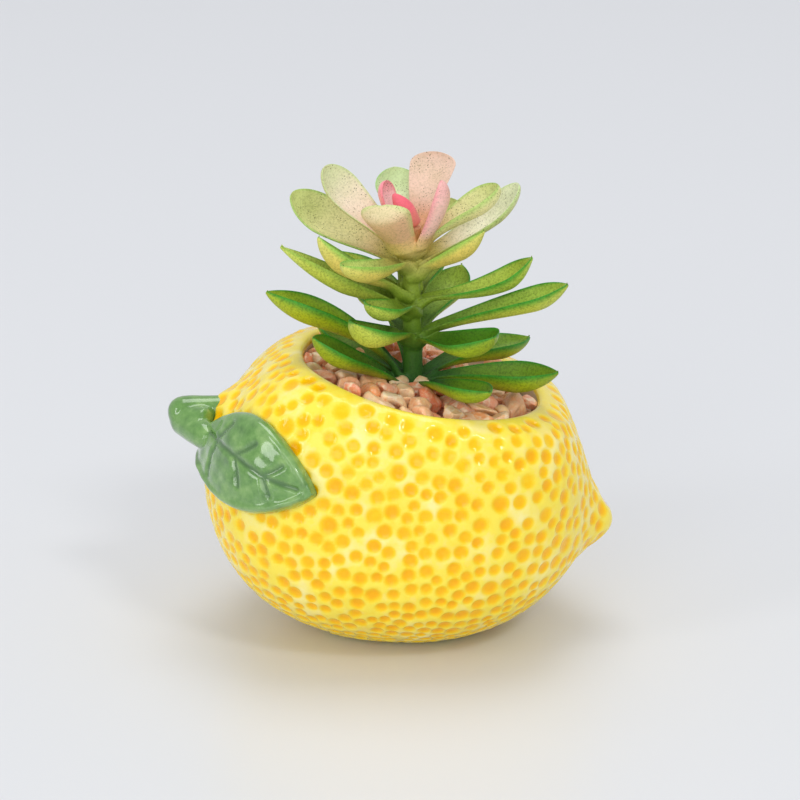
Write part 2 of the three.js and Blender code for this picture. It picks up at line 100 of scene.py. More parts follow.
def light_panel(name, place, aimed_at, width, height, watts):
    """A soft rectangular lamp, aimed at a point. Places are in millimetres."""
    data = bpy.data.lights.new(name, "AREA")
    data.shape = "RECTANGLE"
    data.size = width * MM
    data.size_y = height * MM
    data.energy = watts
    lamp = bpy.data.objects.new(name, data)
    lamp.location = Vector(place) * MM
    lamp.rotation_euler = (Vector(aimed_at) - Vector(place)).to_track_quat("-Z", "Y").to_euler()
    bpy.context.scene.collection.objects.link(lamp)


light_panel("overhead_panel", (0, 700, 2900), (0, 200, 50), 1700, 1700, 28)
light_panel("upper_right_panel", (1300, -1800, 2300), (0, 0, 50), 560, 400, 16)
light_panel("tall_left_panel", (-2200, -1300, 1000), (0, 0, 50), 500, 1600, 11)
light_panel("wide_front_panel", (-500, -2700, 1100), (0, 0, 50), 2600, 1800, 26.5)

# ---- pot body --------------------------------------------------------------------------------------
# A hollow lemon cast in earthenware: a squarish oval with a nose at one end, a low neck at the other, a
# round sloping mouth and a flat foot. It is pressed all over with small dimples, then dipped in a
# transparent yellow glaze that pools deep yellow in the dimples and runs thin and pale on the ridges.

POT_CENTRE = np.array([0, 0, 36.1])
POT_HALF_LENGTH = 49.2
POT_HALF_DEPTH = 42.2
POT_HEIGHT_ABOVE = 44.8
POT_HEIGHT_BELOW = 39.1
POT_TILT = math.radians(3.7)
POT_WALL = 4.5
POT_FLOOR = 5.0
FOOT_ROUND = 3

# how square the lemon is, as the power of its rounding: 2 is an ellipse, and more is boxier
SIDE_ABOVE, SIDE_BELOW = 2.6, 2.2
DEPTH_ABOVE, DEPTH_BELOW = 3.3, 2.05

# swells of the skin, as (degrees in the side view from the nose up, height, spread in degrees)
NOSE = (-7.9, 5.85, 8)
NOSE_SHOULDER = (-4, 3.9, 18.4)
STALK_SHOULDER = (170, 3.2, 18)
NECK = (153, 4.2, 8)

MOUTH_CENTRE = np.array([6.3, 0, 71.5])
MOUTH_SLOPE = math.radians(12.2)
MOUTH_NORMAL = np.array([math.sin(MOUTH_SLOPE), 0, math.cos(MOUTH_SLOPE)])
MOUTH_ALONG = np.array([math.cos(MOUTH_SLOPE), 0, -math.sin(MOUTH_SLOPE)])
MOUTH_RADIUS = 32.5
MOUTH_ROUND = 5
LIP_RADIUS = 1.5

STALK_JOINT = np.array([-48, 0, 60.5])
STALK_DROOP = math.radians(5.5)
STALK_HEADING = np.array([-math.cos(STALK_DROOP), 0, -math.sin(STALK_DROOP)])
STALK_SEAT_ROUND = 1.5
STALK_SEAT_REACH = 9  # degrees from the joint to where the skin is clear of the seat

DIMPLE_SEED = 4
DIMPLE_GAP = (3.5, 5.0)
DIMPLE_RADIUS = (1.7, 3.2)
DIMPLE_DEPTH = 0.75
LIP_CLEAR, FOOT_CLEAR = 4.6, 1.5
NOSE_CLEAR, JOINT_CLEAR = 4.5, 5  # in degrees

DOWN = np.array([0, 0, -1.0])
BACK = np.array([0, 1.0, 0])


def unit(vectors):
    return vectors / np.linalg.norm(vectors, axis=-1, keepdims=True)


def rise_between(values, low, high):
    """0 below low, 1 above high, and a smooth rise between."""
    share = np.clip((values - low) / (high - low), 0, 1)
    return share * share * (3 - 2 * share)


def mix(a, b, share):
    return a + (b - a) * share


def rounded_min(a, b, width):
    """The smaller of two distances, with the corner between them rounded over a width."""
    near = np.maximum(width - np.abs(a - b), 0) / width
    return np.minimum(a, b) - near * near * width / 4


def side_direction(angle):
    """A direction in the side view: 0 is to the nose, 90 is up."""
    return np.array([math.cos(math.radians(angle)), 0, math.sin(math.radians(angle))])


def angle_from(directions, middle):
    return np.degrees(np.arccos(np.clip(directions @ middle, -1, 1)))


def swell(directions, at, height, spread):
    """A bump of the skin round a direction in the side view."""
    return height * np.exp(-((angle_from(directions, side_direction(at)) / spread) ** 2))


def body_radius(directions):
    """From the pot's centre to a plain squarish lemon."""
    along = directions[:, 0] * math.cos(POT_TILT) - directions[:, 2] * math.sin(POT_TILT)
    high = directions[:, 0] * math.sin(POT_TILT) + directions[:, 2] * math.cos(POT_TILT)
    half_height = np.where(high > 0, POT_HEIGHT_ABOVE, POT_HEIGHT_BELOW)
    side = np.where(high > 0, SIDE_ABOVE, SIDE_BELOW)
    depth = mix(DEPTH_BELOW, DEPTH_ABOVE, rise_between(high, -1, 1))
    side_view = np.abs(along / POT_HALF_LENGTH) ** side + np.abs(high / half_height) ** side
    depth_view = np.abs(directions[:, 1] / POT_HALF_DEPTH) ** depth
    return (side_view ** (depth / side) + depth_view) ** (-1 / depth)


def to_plane(directions, point, normal):
    """From the pot's centre to a plane, along directions that point at it."""
    grazing = 0.05
    far = 1e3
    towards = directions @ normal
    distance = (point - POT_CENTRE) @ normal
    return np.where(towards > grazing, distance / np.maximum(towards, grazing), far)


def skin_radius(directions):
    """From the pot's centre to its glazed outside, closed over the mouth and before the dimples."""
    skin = body_radius(directions)
    skin += swell(directions, *NOSE) + swell(directions, *NOSE_SHOULDER)
    skin += swell(directions, *STALK_SHOULDER) + swell(directions, *NECK)
    from_joint = angle_from(directions, unit(STALK_JOINT - POT_CENTRE))
    clearing = STALK_SEAT_REACH * (from_joint / STALK_SEAT_REACH) ** 4
    seat = to_plane(directions, STALK_JOINT, STALK_HEADING) + clearing
    skin = rounded_min(skin, seat, STALK_SEAT_ROUND)
    skin = rounded_min(skin, to_plane(directions, MOUTH_CENTRE, MOUTH_NORMAL), MOUTH_ROUND)
    return rounded_min(skin, to_plane(directions, np.zeros(3), DOWN), FOOT_ROUND)


def dimpled_skin(directions, spots):
    """Which spots of the skin may hold a dimple: none on the lip, over the mouth, or by the ends or foot."""
    from_axis = np.linalg.norm(np.cross(spots - MOUTH_CENTRE, MOUTH_NORMAL), axis=1)
    under_mouth = (MOUTH_CENTRE - spots) @ MOUTH_NORMAL
    off_lip = np.hypot(np.maximum(from_axis - MOUTH_RADIUS, 0), under_mouth) > LIP_CLEAR
    over_mouth = (from_axis < MOUTH_RADIUS + 2) & (under_mouth < 5)
    off_nose = angle_from(directions, side_direction(NOSE[0])) > NOSE_CLEAR
    off_joint = angle_from(directions, unit(STALK_JOINT - POT_CENTRE)) > JOINT_CLEAR
    off_foot = spots[:, 2] > FOOT_CLEAR
    return off_lip & ~over_mouth & off_nose & off_joint & off_foot


def scatter_dimples(random):
    """Middles of the dimples, strewn over the skin and closer together near the foot."""
    tries = 60000
    directions = unit(random.normal(size=(tries, 3)))
    spots = POT_CENTRE + directions * skin_radius(directions)[:, None]
    closer = mix(0.84, 1, rise_between(spots[:, 2], 10, 40))
    gaps = random.uniform(*DIMPLE_GAP, tries) * closer
    cell = DIMPLE_GAP[1]
    steps = list(itertools.product((-1, 0, 1), repeat=3))
    taken = {}
    kept = []
    for index in np.flatnonzero(dimpled_skin(directions, spots)):
        home = np.floor(spots[index] / cell).astype(int)
        near = [other for step in steps for other in taken.get(tuple(home + step), ())]
        if all(np.linalg.norm(spots[other] - spots[index]) > gaps[index] for other in near):
            taken.setdefault(tuple(home), []).append(index)
            kept.append(index)
    return spots[kept]


def dimple_depth(points, spots, random):
    """How deep each point lies in a dimple: 0 on the ridges and 1 on a dimple's floor."""
    tree = kdtree.KDTree(len(spots))
    for index, spot in enumerate(spots):
        tree.insert(spot, index)
    tree.balance()
    to_next = np.array([tree.find_n(spot, 3)[1][2] for spot in spots])
    radii = np.clip(to_next * 0.61, *DIMPLE_RADIUS) * random.uniform(0.84, 1.05, len(spots))
    uneven = mix(0.4, 1.1, rise_between(spots[:, 2], 30, 62))
    strengths = random.uniform(0.55, 1.0, len(spots)) ** uneven
    reach = 3.5
    edge, side = 1.04, 0.7  # where a dimple ends, and how wide its sloping side is, as shares of its radius
    depth = np.zeros(len(points))
    for i, point in enumerate(points):
        for _, index, distance in tree.find_range(point, reach):
            share = distance / radii[index]
            if share < edge:
                fall = min((edge - share) / side, 1)
                depth[i] = max(depth[i], strengths[index] * fall * fall * (3 - 2 * fall))
    return depth


def closed_tube(rings):
    """Points and outward faces of a tube: quads between its rings, and a middle point at each end.

    Every ring runs anticlockwise as seen from ahead, where the rings lead.
    """
    rings = np.asarray(rings)
    rows, columns = rings.shape[:2]
    row, column = np.meshgrid(np.arange(rows - 1), np.arange(columns), indexing="ij")
    here = row * columns + column
    beside = row * columns + (column + 1) % columns
    faces = np.stack([here, beside, beside + columns, here + columns], axis=-1).reshape(-1, 4).tolist()
    first_middle = rows * columns
    last = (rows - 1) * columns
    for i in range(columns):
        following = (i + 1) % columns
        faces.append((first_middle, following, i))
        faces.append((first_middle + 1, last + i, last + following))
    middles = [rings[0].mean(axis=0), rings[-1].mean(axis=0)]
    return np.concatenate([rings.reshape(-1, 3), middles]), faces


def make_piece(name, points, faces, **paints):
    """A smooth mesh from points in millimetres. Each paint is a value or a colour at every point."""
    mesh = bpy.data.meshes.new(name)
    mesh.from_pydata((np.asarray(points) * MM).tolist(), [], faces)
    mesh.shade_smooth()
    for key, values in paints.items():
        kind, field = ("FLOAT_COLOR", "color") if values.ndim == 2 else ("FLOAT", "value")
        layer = mesh.attributes.new(key, kind, "POINT")
        layer.data.foreach_set(field, values.astype(np.float32).ravel())
    piece = bpy.data.objects.new(name, mesh)
    bpy.context.scene.collection.objects.link(piece)
    return piece


def turned_directions(starts, end, shares):
    """Rings of directions that turn from each start towards one end."""
    angles = np.arccos(np.clip(starts @ end, -1, 1))[None, :, None]
    shares = np.asarray(shares)[:, None, None]
    return (np.sin((1 - shares) * angles) * starts[None] + np.sin(shares * angles) * end) / np.sin(angles)


def hand_smoothing(directions):
    """The slow waves that a smoothing hand leaves in the skin, in millimetres inwards."""
    stretched = directions * np.array([1.3, 1.0, 0.8])
    waves = [((1.1, 0.4, 0.9), 0.3), ((-0.5, 1.3, 0.2), 1.9), ((0.3, -0.8, 1.4), 4.0)]
    return 0.06 * (sum(np.sin(stretched @ np.array(wave) * 4 + shift) for wave, shift in waves) + 3)


def build_pot():
    random = np.random.default_rng(DIMPLE_SEED)
    columns = 540
    turn = np.arange(columns) / columns * 2 * math.pi
    outwards = np.cos(turn)[:, None] * MOUTH_ALONG + np.sin(turn)[:, None] * BACK

    # the outside, from the lip to the middle of the foot
    lip_edge = MOUTH_CENTRE + outwards * (MOUTH_RADIUS + LIP_RADIUS)
    steps = np.concatenate([np.linspace(0, 0.84, 146), [0.9, 0.96]])
    directions = turned_directions(unit(lip_edge - POT_CENTRE), DOWN, steps).reshape(-1, 3)
    outside = POT_CENTRE + directions * skin_radius(directions)[:, None]
    depth = dimple_depth(outside, scatter_dimples(random), random)

    # dimples and slow waves go inwards, and fade out at the foot and the lip
    true_skin = (directions[:, 2] < -0.8) | (angle_from(directions, side_direction(NOSE[0])) < 12)
    dent = DIMPLE_DEPTH * depth + np.where(true_skin, 0, hand_smoothing(directions))
    dent *= rise_between(outside[:, 2], 0.2, 2.5)
    from_lip = np.linalg.norm(outside - np.tile(lip_edge, (len(steps), 1)), axis=1)
    dent *= rise_between(from_lip, 0, 3)
    outside = (outside - directions * dent[:, None]).reshape(len(steps), columns, 3)

    # the lip rolls over and drops into the mouth
    lip = []
    for angle in np.radians([25, 45, 65, 90]):
        inwards = -outwards * LIP_RADIUS * math.sin(angle)
        lip.append(outside[0] + inwards - MOUTH_NORMAL * LIP_RADIUS * (1 - math.cos(angle)))
    wall = [lip[-1] - MOUTH_NORMAL * drop for drop in (0.6, 1.4, 2.6, 4.0, 5.5)]

    # the hollow inside, down to its floor
    inner = []
    for share in np.linspace(0.06, 0.95, 9):
        directions = turned_directions(unit(wall[-1] - POT_CENTRE), DOWN, [share])[0]
        radius = body_radius(directions) - POT_WALL
        radius = np.minimum(radius, to_plane(directions, np.array([0, 0, POT_FLOOR]), DOWN))
        inner.append(POT_CENTRE + directions * radius[:, None])

    points, faces = closed_tube(list(outside[::-1]) + lip + wall + inner)
    dimple = np.zeros(len(points))
    dimple[: len(depth)] = depth.reshape(len(steps), columns)[::-1].ravel()
    glazed = np.ones(len(points))
    glazed[(len(steps) + len(lip)) * columns:] = 0
    glazed[: len(depth)][points[: len(depth), 2] < 0.25] = 0  # the foot is wiped clean of glaze
    return make_piece("lemon_pot", points, faces, dimple=dimple, glazed=glazed)


def feed(tree, socket, value):
    """Wires a socket from another one, or sets it to a plain value."""
    if isinstance(value, bpy.types.NodeSocket):
        tree.links.new(value, socket)
    else:
        socket.default_value = value


def new_node(tree, kind, inputs, **settings):
    """A shader node with its settings, and its inputs wired from others or set to plain values."""
    node = tree.nodes.new(kind)
    for key, setting in settings.items():
        setattr(node, key, setting)
    for key, value in inputs.items():
        feed(tree, node.inputs[key], value)
    return node


def painted(tree, key, output="Fac"):
    """What make_piece painted on the mesh under this key."""
    return new_node(tree, "ShaderNodeAttribute", {}, attribute_name=key).outputs[output]


def own_place(tree):
    """Where each point lies, in metres."""
    return tree.nodes.new("ShaderNodeTexCoord").outputs["Object"]


def noise(tree, scale, detail=3.0, roughness=0.5):
    """A cloudy pattern. Scale is in waves to the metre."""
    inputs = {"Vector": own_place(tree), "Scale": scale, "Detail": detail, "Roughness": roughness}
    return new_node(tree, "ShaderNodeTexNoise", inputs).outputs["Fac"]


def ramp(tree, value, *stops):
    """A colour for each value, from stops of (value, colour)."""
    node = new_node(tree, "ShaderNodeValToRGB", {"Fac": value})
    elements = node.color_ramp.elements
    while len(elements) < len(stops):
        elements.new(0.5)
    for element, (place, colour) in zip(elements, stops):
        element.position = place
        element.color = colour
    return node.outputs["Color"]


def rerange(tree, value, low, high, new_low=0.0, new_high=1.0):
    """Spreads a value from one range to another and keeps it in the new one."""
    inputs = {"Value": value, "From Min": low, "From Max": high, "To Min": new_low, "To Max": new_high}
    return new_node(tree, "ShaderNodeMapRange", inputs).outputs["Result"]


def reckon(tree, operation, a, b):
    """One sum on two values, such as ADD or MULTIPLY."""
    return new_node(tree, "ShaderNodeMath", {0: a, 1: b}, operation=operation).outputs[0]


def blend(tree, share, a, b, mode="MIX"):
    """Two colours mixed by a share."""
    inputs = {"Factor": share, 6: a, 7: b}
    return new_node(tree, "ShaderNodeMix", inputs, data_type="RGBA", blend_type=mode).outputs[2]


def wire_shader(finish, colour, roughness, height, height_mm):
    """Feeds the shader its colour and roughness, and a bump of a real height in millimetres."""
    tree = finish.node_tree
    bump = new_node(tree, "ShaderNodeBump", {"Distance": height_mm * MM, "Height": height})
    sockets = {"Base Color": colour, "Roughness": roughness, "Normal": bump.outputs["Normal"]}
    for key, value in sockets.items():
        feed(tree, tree.nodes["Principled BSDF"].inputs[key], value)


def yellow_glaze():
    finish = new_finish("yellow_glaze", Specular_IOR_Level=0.12, Coat_Weight=0.5, Coat_Roughness=0.04)
    tree = finish.node_tree
    uneven = rerange(tree, noise(tree, 380, 4, 0.6), 0.3, 0.7, -0.17, 0.17)
    pooled = reckon(tree, "ADD", painted(tree, "dimple"), uneven)
    colour = ramp(
        tree,
        pooled,
        (0.0, rgb(251, 229, 80)),
        (0.2, rgb(251, 218, 52)),
        (0.5, rgb(254, 204, 14)),
        (1.0, rgb(253, 182, 0)),
    )
    thin = rerange(tree, noise(tree, 95, 5, 0.6), 0.5, 0.68)
    ridge = rerange(tree, painted(tree, "dimple"), 0.0, 0.35, 0.75, 0.0)
    colour = blend(tree, reckon(tree, "MULTIPLY", thin, ridge), colour, rgb(252, 242, 170))
    clay = blend(tree, noise(tree, 400, 4), rgb(226, 222, 212), rgb(212, 207, 198))
    colour = blend(tree, painted(tree, "glazed"), clay, colour)
    roughness = rerange(tree, noise(tree, 150, 3), 0.3, 0.7, 0.16, 0.26)
    wire_shader(finish, colour, roughness, noise(tree, 900, 3), 0.05)
    return finish


pot = build_pot()
pot.data.materials.append(yellow_glaze())
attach(pot, "root")
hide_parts("pot_body")

# ---- stalk -----------------------------------------------------------------------------------------
# A stub of clay that comes out of the neck and ends in a round knob, with a side limb that runs down
# to the leaf. Both are rolled by hand, pressed together wet, and glazed a mottled glossy green.


def lathe(profile, start, heading, columns=48):
    """A round solid from (distance along, radius) pairs, closed at both ends."""
    heading = unit(heading)
    side = unit(np.cross(heading, [0, 0, 1.0]))
    up = np.cross(heading, side)
    turn = np.arange(columns) / columns * 2 * math.pi
    spoke = np.cos(turn)[:, None] * side + np.sin(turn)[:, None] * up
    return closed_tube([start + heading * along + spoke * radius for along, radius in profile])


def clay_stub():
    neck = [(-3, 3.7), (0, 3.7), (3.4, 4.0), (6.4, 4.35)]
    knob = [(8.9, 4.4), (10.6, 4.1), (11.9, 3.3), (12.8, 2.2), (13.2, 1.0)]
    return lathe(neck + knob, STALK_JOINT, STALK_HEADING)


def clay_limb():
    start, end = np.array([-56.6, -1, 57.6]), np.array([-49.4, -11.3, 56.2])
    length = np.linalg.norm(end - start)
    ball = [(-4.1, 0.8), (-3.6, 2.1), (-2.5, 3.4), (0, 4.2)]
    taper = [(length * 0.5, 4.1), (length * 0.85, 3.8), (length + 1.5, 2.9), (length + 2.4, 1.4)]
    return lathe(ball + taper, start, end - start)


def clay_web():
    """A pad of clay that fills the crook between the stub and the limb."""
    start, end = np.array([-56, -2.5, 58.8]), np.array([-50.7, -5.2, 58.9])
    length = np.linalg.norm(end - start)
    pad = [(-1, 2.4), (0, 3.4), (length, 3.9), (length + 1, 3.0), (length + 1.6, 1.6)]
    return lathe(pad, start, end - start)


def pressed_together(name, parts, smoothing):
    """One piece with a single skin round several (points, faces) parts, its joins smoothed."""
    points, faces = [], []
    for part_points, part_faces in parts:
        first = sum(len(group) for group in points)
        faces += [tuple(first + i for i in face) for face in part_faces]
        points.append(part_points)
    piece = make_piece(name, np.concatenate(points), faces)
    join = piece.modifiers.new("single_skin", "REMESH")
    join.mode = "VOXEL"
    join.voxel_size = 0.28 * MM
    join.use_smooth_shade = True
    soften = piece.modifiers.new("smoothed_joins", "SMOOTH")
    soften.factor = 0.5
    soften.iterations = smoothing
    return piece


def green_glaze():
    finish = new_finish("green_glaze", Coat_Weight=0.8, Coat_Roughness=0.05)
    tree = finish.node_tree
    colour = ramp(
        tree,
        noise(tree, 210, 5, 0.62),
        (0.3, rgb(74, 120, 50)),
        (0.5, rgb(102, 148, 72)),
        (0.72, rgb(138, 176, 102)),
    )
    thinned = rerange(tree, painted(tree, "raised"), 0.0, 1.0, 0, 0.2)
    colour = blend(tree, thinned, colour, rgb(152, 186, 120))
    pooled = rerange(tree, painted(tree, "groove"), 0.2, 1.0, 0, 0.8)
    colour = blend(tree, pooled, colour, rgb(62, 104, 50))
    roughness = rerange(tree, noise(tree, 130, 3), 0.3, 0.7, 0.14, 0.24)
    wire_shader(finish, colour, roughness, noise(tree, 600, 3), 0.05)
    return finish


green = green_glaze()
stalk = pressed_together("clay_stalk", [clay_stub(), clay_limb(), clay_web()], smoothing=30)
stalk.data.materials.append(green)
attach(stalk, "root")
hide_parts("pot_stalk")

# ---- clay leaf -------------------------------------------------------------------------------------
# A thick pad of clay cut to a leaf and bent over the lemon's shoulder. Its veins are pressed in with a
# tool, the rim is left standing as a soft roll, and it takes the same green glaze as the stalk.

# its two ends on the pot, in degrees along in the side view and then round towards the back
CLAY_LEAF_BASE = (163, -1.9)
CLAY_LEAF_TIP = (143.2, -57.8)
CLAY_LEAF_HALF_WIDTH = math.radians(13.7)
CLAY_LEAF_THICKNESS = 2.9
ROLL_HEIGHT = 0.95
VEIN_DEPTH = 0.65
TO_FLAT = 52  # millimetres of the leaf laid flat to a radian on the pot

# each vein as (share from base to tip, share from the middle to the upper edge)
CLAY_LEAF_VEINS = [
    [(0.24, 0.36), (0.39, 0.33), (0.55, 0.22), (0.67, 0.12), (0.75, 0.04), (0.85, 0.03), (0.92, 0.04)],
    [(0.37, 0.37), (0.42, 0.56), (0.46, 0.77)],
    [(0.55, 0.22), (0.62, 0.41), (0.67, 0.60)],
    [(0.75, 0.08), (0.79, 0.21), (0.83, 0.38)],
    [(0.37, 0.27), (0.34, -0.05), (0.33, -0.39)],
    [(0.56, 0.19), (0.59, -0.05), (0.61, -0.32)],
    [(0.75, 0.01), (0.77, -0.14), (0.79, -0.28)],
]


def round_direction(along, around):
    """A direction from the pot's centre: along in the side view, then round towards the back."""
    flat = side_direction(along) * math.cos(math.radians(around))
    return flat + BACK * math.sin(math.radians(around))


def from_lines(points, lines):
    """The distance from flat points to the nearest of some broken lines."""
    best = np.full(len(points), 1e3)
    for line in lines:
        for a, b in zip(line[:-1], line[1:]):
            share = np.clip((points - a) @ (b - a) / ((b - a) @ (b - a)), 0, 1)
            best = np.minimum(best, np.linalg.norm(points - a - share[:, None] * (b - a), axis=1))
    return best


def clay_leaf_outline(share):
    """Half its width at a share from base to tip, and how far its middle line sways to the upper edge.

    Both are shares of half its full width.
    """
    half = math.sin(math.pi * share ** 1.19) ** 0.73
    middle = 0.12 * math.sin(math.pi * share) + 0.03 * share ** 4 - 0.1 * (1 - share) ** 4
    return half, middle


def clay_leaf_relief(flat, veins, across, outline):
    """How thick it is, how deep each point lies in a vein, and how far up the roll of the rim."""
    groove = 1 - rise_between(from_lines(flat, veins), 0.15, 1.15)
    from_rim = (1 - np.abs(across)) * outline * CLAY_LEAF_HALF_WIDTH * TO_FLAT
    roll = np.exp(-(((from_rim - 1.4) / 1.1) ** 2)) * (outline > 0.25)
    dome = 0.1 * np.sqrt(np.maximum(1 - across ** 2, 0))
    ripple = np.sin(flat[:, 0] * 0.8 + flat[:, 1] * 0.5) * np.sin(flat[:, 1] * 0.9 - flat[:, 0] * 0.3)
    thickness = CLAY_LEAF_THICKNESS + dome + ROLL_HEIGHT * roll * np.where(across < 0, 1, 0.5)
    return thickness - VEIN_DEPTH * groove + 0.12 * ripple, groove, roll


def build_clay_leaf():
    base, tip = round_direction(*CLAY_LEAF_BASE), round_direction(*CLAY_LEAF_TIP)
    axis = unit(np.cross(base, tip))
    swing = math.acos(base @ tip)
    rows, columns = 110, 144
    shares = 0.03 + 0.967 * (1 - np.cos(np.linspace(0, math.pi, rows))) / 2
    slant = np.linspace(0, 2 * math.pi, columns, endpoint=False)
    across = np.cos(slant)
    upper = np.sin(slant) >= 0
    squared = np.sqrt(np.maximum(1 - across ** 8, 0))
    size = np.array([swing, CLAY_LEAF_HALF_WIDTH]) * TO_FLAT
    veins = [np.array(vein) * size for vein in CLAY_LEAF_VEINS]
    rings, grooves, raised = [], [], []
    for share in shares:
        outline, middle = clay_leaf_outline(share)
        direction = base * math.cos(swing * share) + np.cross(axis, base) * math.sin(swing * share)
        sideways = CLAY_LEAF_HALF_WIDTH * (outline * across + middle)
        directions = direction * np.cos(sideways)[:, None] + axis * np.sin(sideways)[:, None]
        flat = np.stack([np.full(columns, share * swing * TO_FLAT), sideways * TO_FLAT], axis=1)
        body, groove, roll = clay_leaf_relief(flat, veins, across, outline)
        body *= rise_between(np.array(share), -0.1, 0.2)
        above = np.where(upper, 0.25 + squared * body, 0.25 - 0.3 * squared)
        rings.append(POT_CENTRE + directions * (skin_radius(directions) + above)[:, None])
        grooves.append(groove * upper)
        raised.append(roll * upper)
    points, faces = closed_tube(rings)
    middles = np.zeros(2)
    groove, roll = np.concatenate(grooves + [middles]), np.concatenate(raised + [middles])
    return make_piece("clay_leaf", points, faces, groove=groove, raised=roll)


clay_leaf = build_clay_leaf()
clay_leaf.data.materials.append(green)
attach(clay_leaf, "root")
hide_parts("pot_leaf")

# ---- foam block ------------------------------------------------------------------------------------
# A block of dry floral foam fills the pot and holds the plant upright. The gravel hides all of it.


def dry_foam():
    finish = new_finish("dry_foam")
    tree = finish.node_tree
    colour = blend(tree, noise(tree, 900, 5), rgb(52, 66, 44), rgb(84, 98, 66))
    wire_shader(finish, colour, 0.95, noise(tree, 1600, 4), 0.3)
    return finish


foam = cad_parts["foam_block"]
foam.data.materials.clear()
foam.data.materials.append(dry_foam())

# ---- gravel ----------------------------------------------------------------------------------------
# Loose tumbled pea gravel in salmon pink, cream and tan, poured round the stem to just under the lip.
# Every stone is worn to a few soft flats, and lies where it settled against its neighbours.

STEM_FOOT = np.array([4.3, -3.1, 68.7])
STEM_LEAN = math.radians(-1)
GRAVEL_SEED = 11
STONES = 190
STONE_RADIUS = (2.2, 3.8)
GRAVEL_RADIUS = 32.1
BED_DEPTH = 8.7  # from the mouth's plane down to the foam that the gravel lies on


def settle_stones(random):
    """Middles and radii of stones at rest in the mouth, as (along, across, height over the bed)."""
    radii = random.uniform(*STONE_RADIUS, STONES)
    reach = 31.0 * np.sqrt(random.uniform(0, 1, STONES))
    turn = random.uniform(0, 2 * math.pi, STONES)
    height = random.uniform(1, 9, STONES)
    middles = np.stack([np.cos(turn) * reach, np.sin(turn) * reach, height], axis=1)
    stem_place = np.array([-2.0, -3.1])
    stem_room = 2.6
    top = 8.4
    fall = 0.08
    nesting = 0.93  # how near two stones may lie, as a share of their two radii
    for _ in range(260):
        middles[:, 2] -= fall
        apart = middles[:, None] - middles[None]
        distance = np.linalg.norm(apart, axis=2) + np.eye(STONES) * 99
        overlap = np.maximum((radii[:, None] + radii[None]) * nesting - distance, 0)
        middles += (apart / distance[..., None] * overlap[..., None]).sum(axis=1) * 0.3
        from_stem = middles[:, :2] - stem_place
        gap = np.linalg.norm(from_stem, axis=1)
        push = np.maximum(stem_room + radii - gap, 0)
        middles[:, :2] += from_stem / gap[:, None] * push[:, None]
        from_middle = np.linalg.norm(middles[:, :2], axis=1)
        middles[:, :2] *= np.minimum(1, (GRAVEL_RADIUS - radii * 0.95) / from_middle)[:, None]
        middles[:, 2] = np.clip(middles[:, 2], radii * 0.7, top - radii * 0.6)
    return middles, radii


def round_stone():
    """Points and triangles of a round stone, before it is worn."""
    mesh = bpy.data.meshes.new("round_stone")
    shape = bmesh.new()
    bmesh.ops.create_icosphere(shape, subdivisions=3, radius=1)
    shape.to_mesh(mesh)
    shape.free()
    points = np.array([vertex.co for vertex in mesh.vertices])
    faces = [tuple(face.vertices) for face in mesh.polygons]
    bpy.data.meshes.remove(mesh)
    return points, faces


def pebble(random, points, radius):
    """A tumbled stone: a round one with some of its sides worn flat, pulled to an uneven oval."""
    stone = points.copy()
    for _ in range(random.integers(7, 12)):
        normal = unit(random.normal(size=3))
        height = random.uniform(0.44, 0.76)
        over = np.maximum(stone @ normal - height, 0)
        stone -= 0.97 * over[:, None] * normal
    lump = unit(random.normal(size=3))
    stone *= (1 + 0.08 * np.sin(points @ lump * 3 + random.uniform(0, 6)))[:, None]
    pull = [random.uniform(1.15, 1.75), random.uniform(0.95, 1.2), random.uniform(0.75, 1.0)]
    stone *= np.array(pull) * radius
    axes = np.linalg.qr(random.normal(size=(3, 3)))[0]
    axes[:, 0] *= np.sign(np.linalg.det(axes))
    lying_flat = np.array([1, 1, 0.8])
    return stone @ axes.T * lying_flat


def build_gravel():
    random = np.random.default_rng(GRAVEL_SEED)
    middles, radii = settle_stones(random)
    round_points, round_faces = round_stone()
    bed = MOUTH_CENTRE - MOUTH_NORMAL * BED_DEPTH
    points, faces, tones, veins = [], [], [], []
    for middle, radius in zip(middles, radii):
        stone = pebble(random, round_points, radius) + middle
        stone[:, 2] = np.maximum(stone[:, 2], 0)
        reach = np.linalg.norm(stone[:, :2], axis=1)
        stone[:, :2] *= np.minimum(1, (GRAVEL_RADIUS + 0.1) / reach)[:, None]
        first = len(points) * len(round_points)
        faces += [tuple(first + i for i in face) for face in round_faces]
        points.append(bed + stone @ np.array([MOUTH_ALONG, BACK, MOUTH_NORMAL]))
        tones.append(np.full(len(stone), random.uniform()))
        veins.append(np.full(len(stone), random.uniform()))
    points, tones, veins = np.concatenate(points), np.concatenate(tones), np.concatenate(veins)
    return make_piece("pea_gravel", points, faces, tone=tones, veined=veins)


